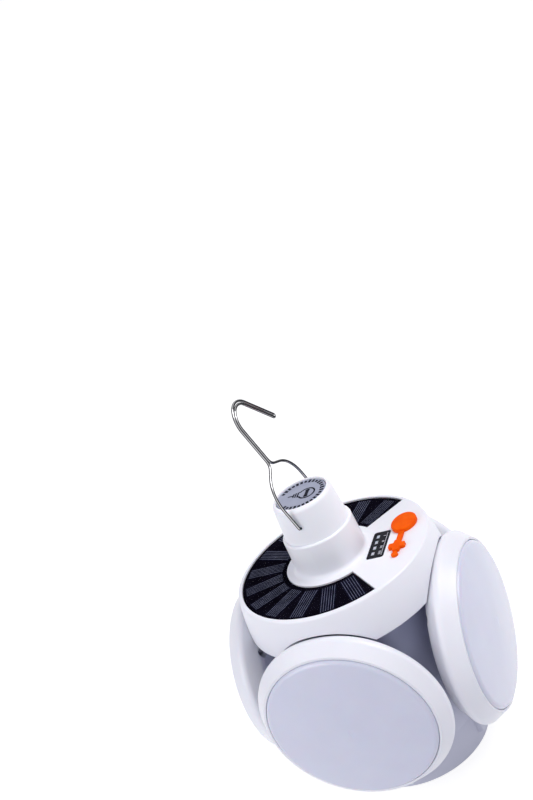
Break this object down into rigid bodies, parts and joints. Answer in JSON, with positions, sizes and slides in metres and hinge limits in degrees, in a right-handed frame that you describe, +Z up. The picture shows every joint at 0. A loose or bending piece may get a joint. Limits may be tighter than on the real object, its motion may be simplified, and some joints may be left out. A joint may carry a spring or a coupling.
{
  "type": "folding solar lamp",
  "caption": "Folding solar camping lamp: round light wings hinge out round a centre light, under a ring solar panel with a push button and a wire hanging hook.",
  "frame": {"origin": "centre of the centre lens's flat foot, on the surface that the folded lamp stands on", "axes": "+Z up along the neck, +Y towards the indicator plate and the charging port, +X the way wing 1 faces when folded"},
  "size_m": [0.1448, 0.1448, 0.2369],
  "materials": {
    "body_plastic": "fine satin moulded",
    "milky_lens": "milky, smooth",
    "led_board": "white solder mask",
    "led_package": "pale yellow phosphor",
    "pin_steel": "ground",
    "dark_screw": "blackened",
    "seal_rubber": "soft",
    "panel_backing": "dark board",
    "solar_cell": "dark blue silicon with fine silver lines",
    "panel_resin": "clear, polished",
    "indicator_black": "smooth",
    "indicator_window": "frosted",
    "port_rubber": "soft, satin",
    "socket_steel": "plain",
    "circuit_board": "green solder mask",
    "board_part": "moulded",
    "battery_can": "plastic sleeve",
    "holder_plastic": "moulded",
    "switch_plastic": "moulded",
    "button_plastic": "satin",
    "hook_chrome": "bright plated"
  },
  "bodies": {
    "lamp": {"battery_cells": "battery_can", "battery_holder": "holder_plastic", "board_parts": "board_part", "centre_board": "led_board", "centre_leds": "led_package", "centre_lens": "milky_lens", "charge_socket": "socket_steel", "deck_seal": "seal_rubber", "hinge_pins": "pin_steel", "hub_body": "body_plastic", "hub_screws": "dark_screw", "indicator_leds": "led_package", "indicator_plate": "indicator_black", "indicator_windows": "indicator_window", "main_board": "circuit_board", "neck_cap": "body_plastic", "port_anchor": "port_rubber", "solar_backing": "panel_backing", "solar_cells": "solar_cell", "solar_window": "panel_resin", "switch_board": "circuit_board", "tact_switch": "switch_plastic", "top_cover": "body_plastic"},
    "wing_1": {"wing_1_shell": "body_plastic", "wing_1_lens": "milky_lens", "wing_1_board": "led_board", "wing_1_leds": "led_package", "wing_1_screws": "dark_screw"},
    "wing_2": {"wing_2_shell": "body_plastic", "wing_2_lens": "milky_lens", "wing_2_board": "led_board", "wing_2_leds": "led_package", "wing_2_screws": "dark_screw"},
    "wing_3": {"wing_3_shell": "body_plastic", "wing_3_lens": "milky_lens", "wing_3_board": "led_board", "wing_3_leds": "led_package", "wing_3_screws": "dark_screw"},
    "wing_4": {"wing_4_shell": "body_plastic", "wing_4_lens": "milky_lens", "wing_4_board": "led_board", "wing_4_leds": "led_package", "wing_4_screws": "dark_screw"},
    "hook": {"hook": "hook_chrome"},
    "power_button": {"power_button": "button_plastic"},
    "port_cap": {"port_cap": "port_rubber"}
  },
  "joints": [
    {"name": "wing_1_fold", "type": "hinge", "parent": "lamp", "child": "wing_1", "pos_m": [0.0464, 0, 0.0212], "axis": [0, 1, 0], "range_deg": [0, 80]},
    {"name": "wing_2_fold", "type": "hinge", "parent": "lamp", "child": "wing_2", "pos_m": [0, 0.0464, 0.0212], "axis": [-1, 0, 0], "range_deg": [0, 80]},
    {"name": "wing_3_fold", "type": "hinge", "parent": "lamp", "child": "wing_3", "pos_m": [-0.0464, 0, 0.0212], "axis": [0, -1, 0], "range_deg": [0, 80]},
    {"name": "wing_4_fold", "type": "hinge", "parent": "lamp", "child": "wing_4", "pos_m": [0, -0.0464, 0.0212], "axis": [1, 0, 0], "range_deg": [0, 80]},
    {"name": "hook_fold", "type": "hinge", "parent": "lamp", "child": "hook", "pos_m": [0, 0, 0.1694], "axis": [1, 0, 0], "range_deg": [-104.5, 75.5]},
    {"name": "button_press", "type": "slide", "parent": "lamp", "child": "power_button", "axis": [0, 0, -1], "range_m": [0, 0.001], "stiffness_N_per_m": 2000, "springref_m": -0.0003},
    {"name": "port_cap_lift", "type": "hinge", "parent": "lamp", "child": "port_cap", "pos_m": [-0.0046, 0.0408, 0.13965], "axis": [0, 1, 0], "range_deg": [0, 120]}
  ]
}
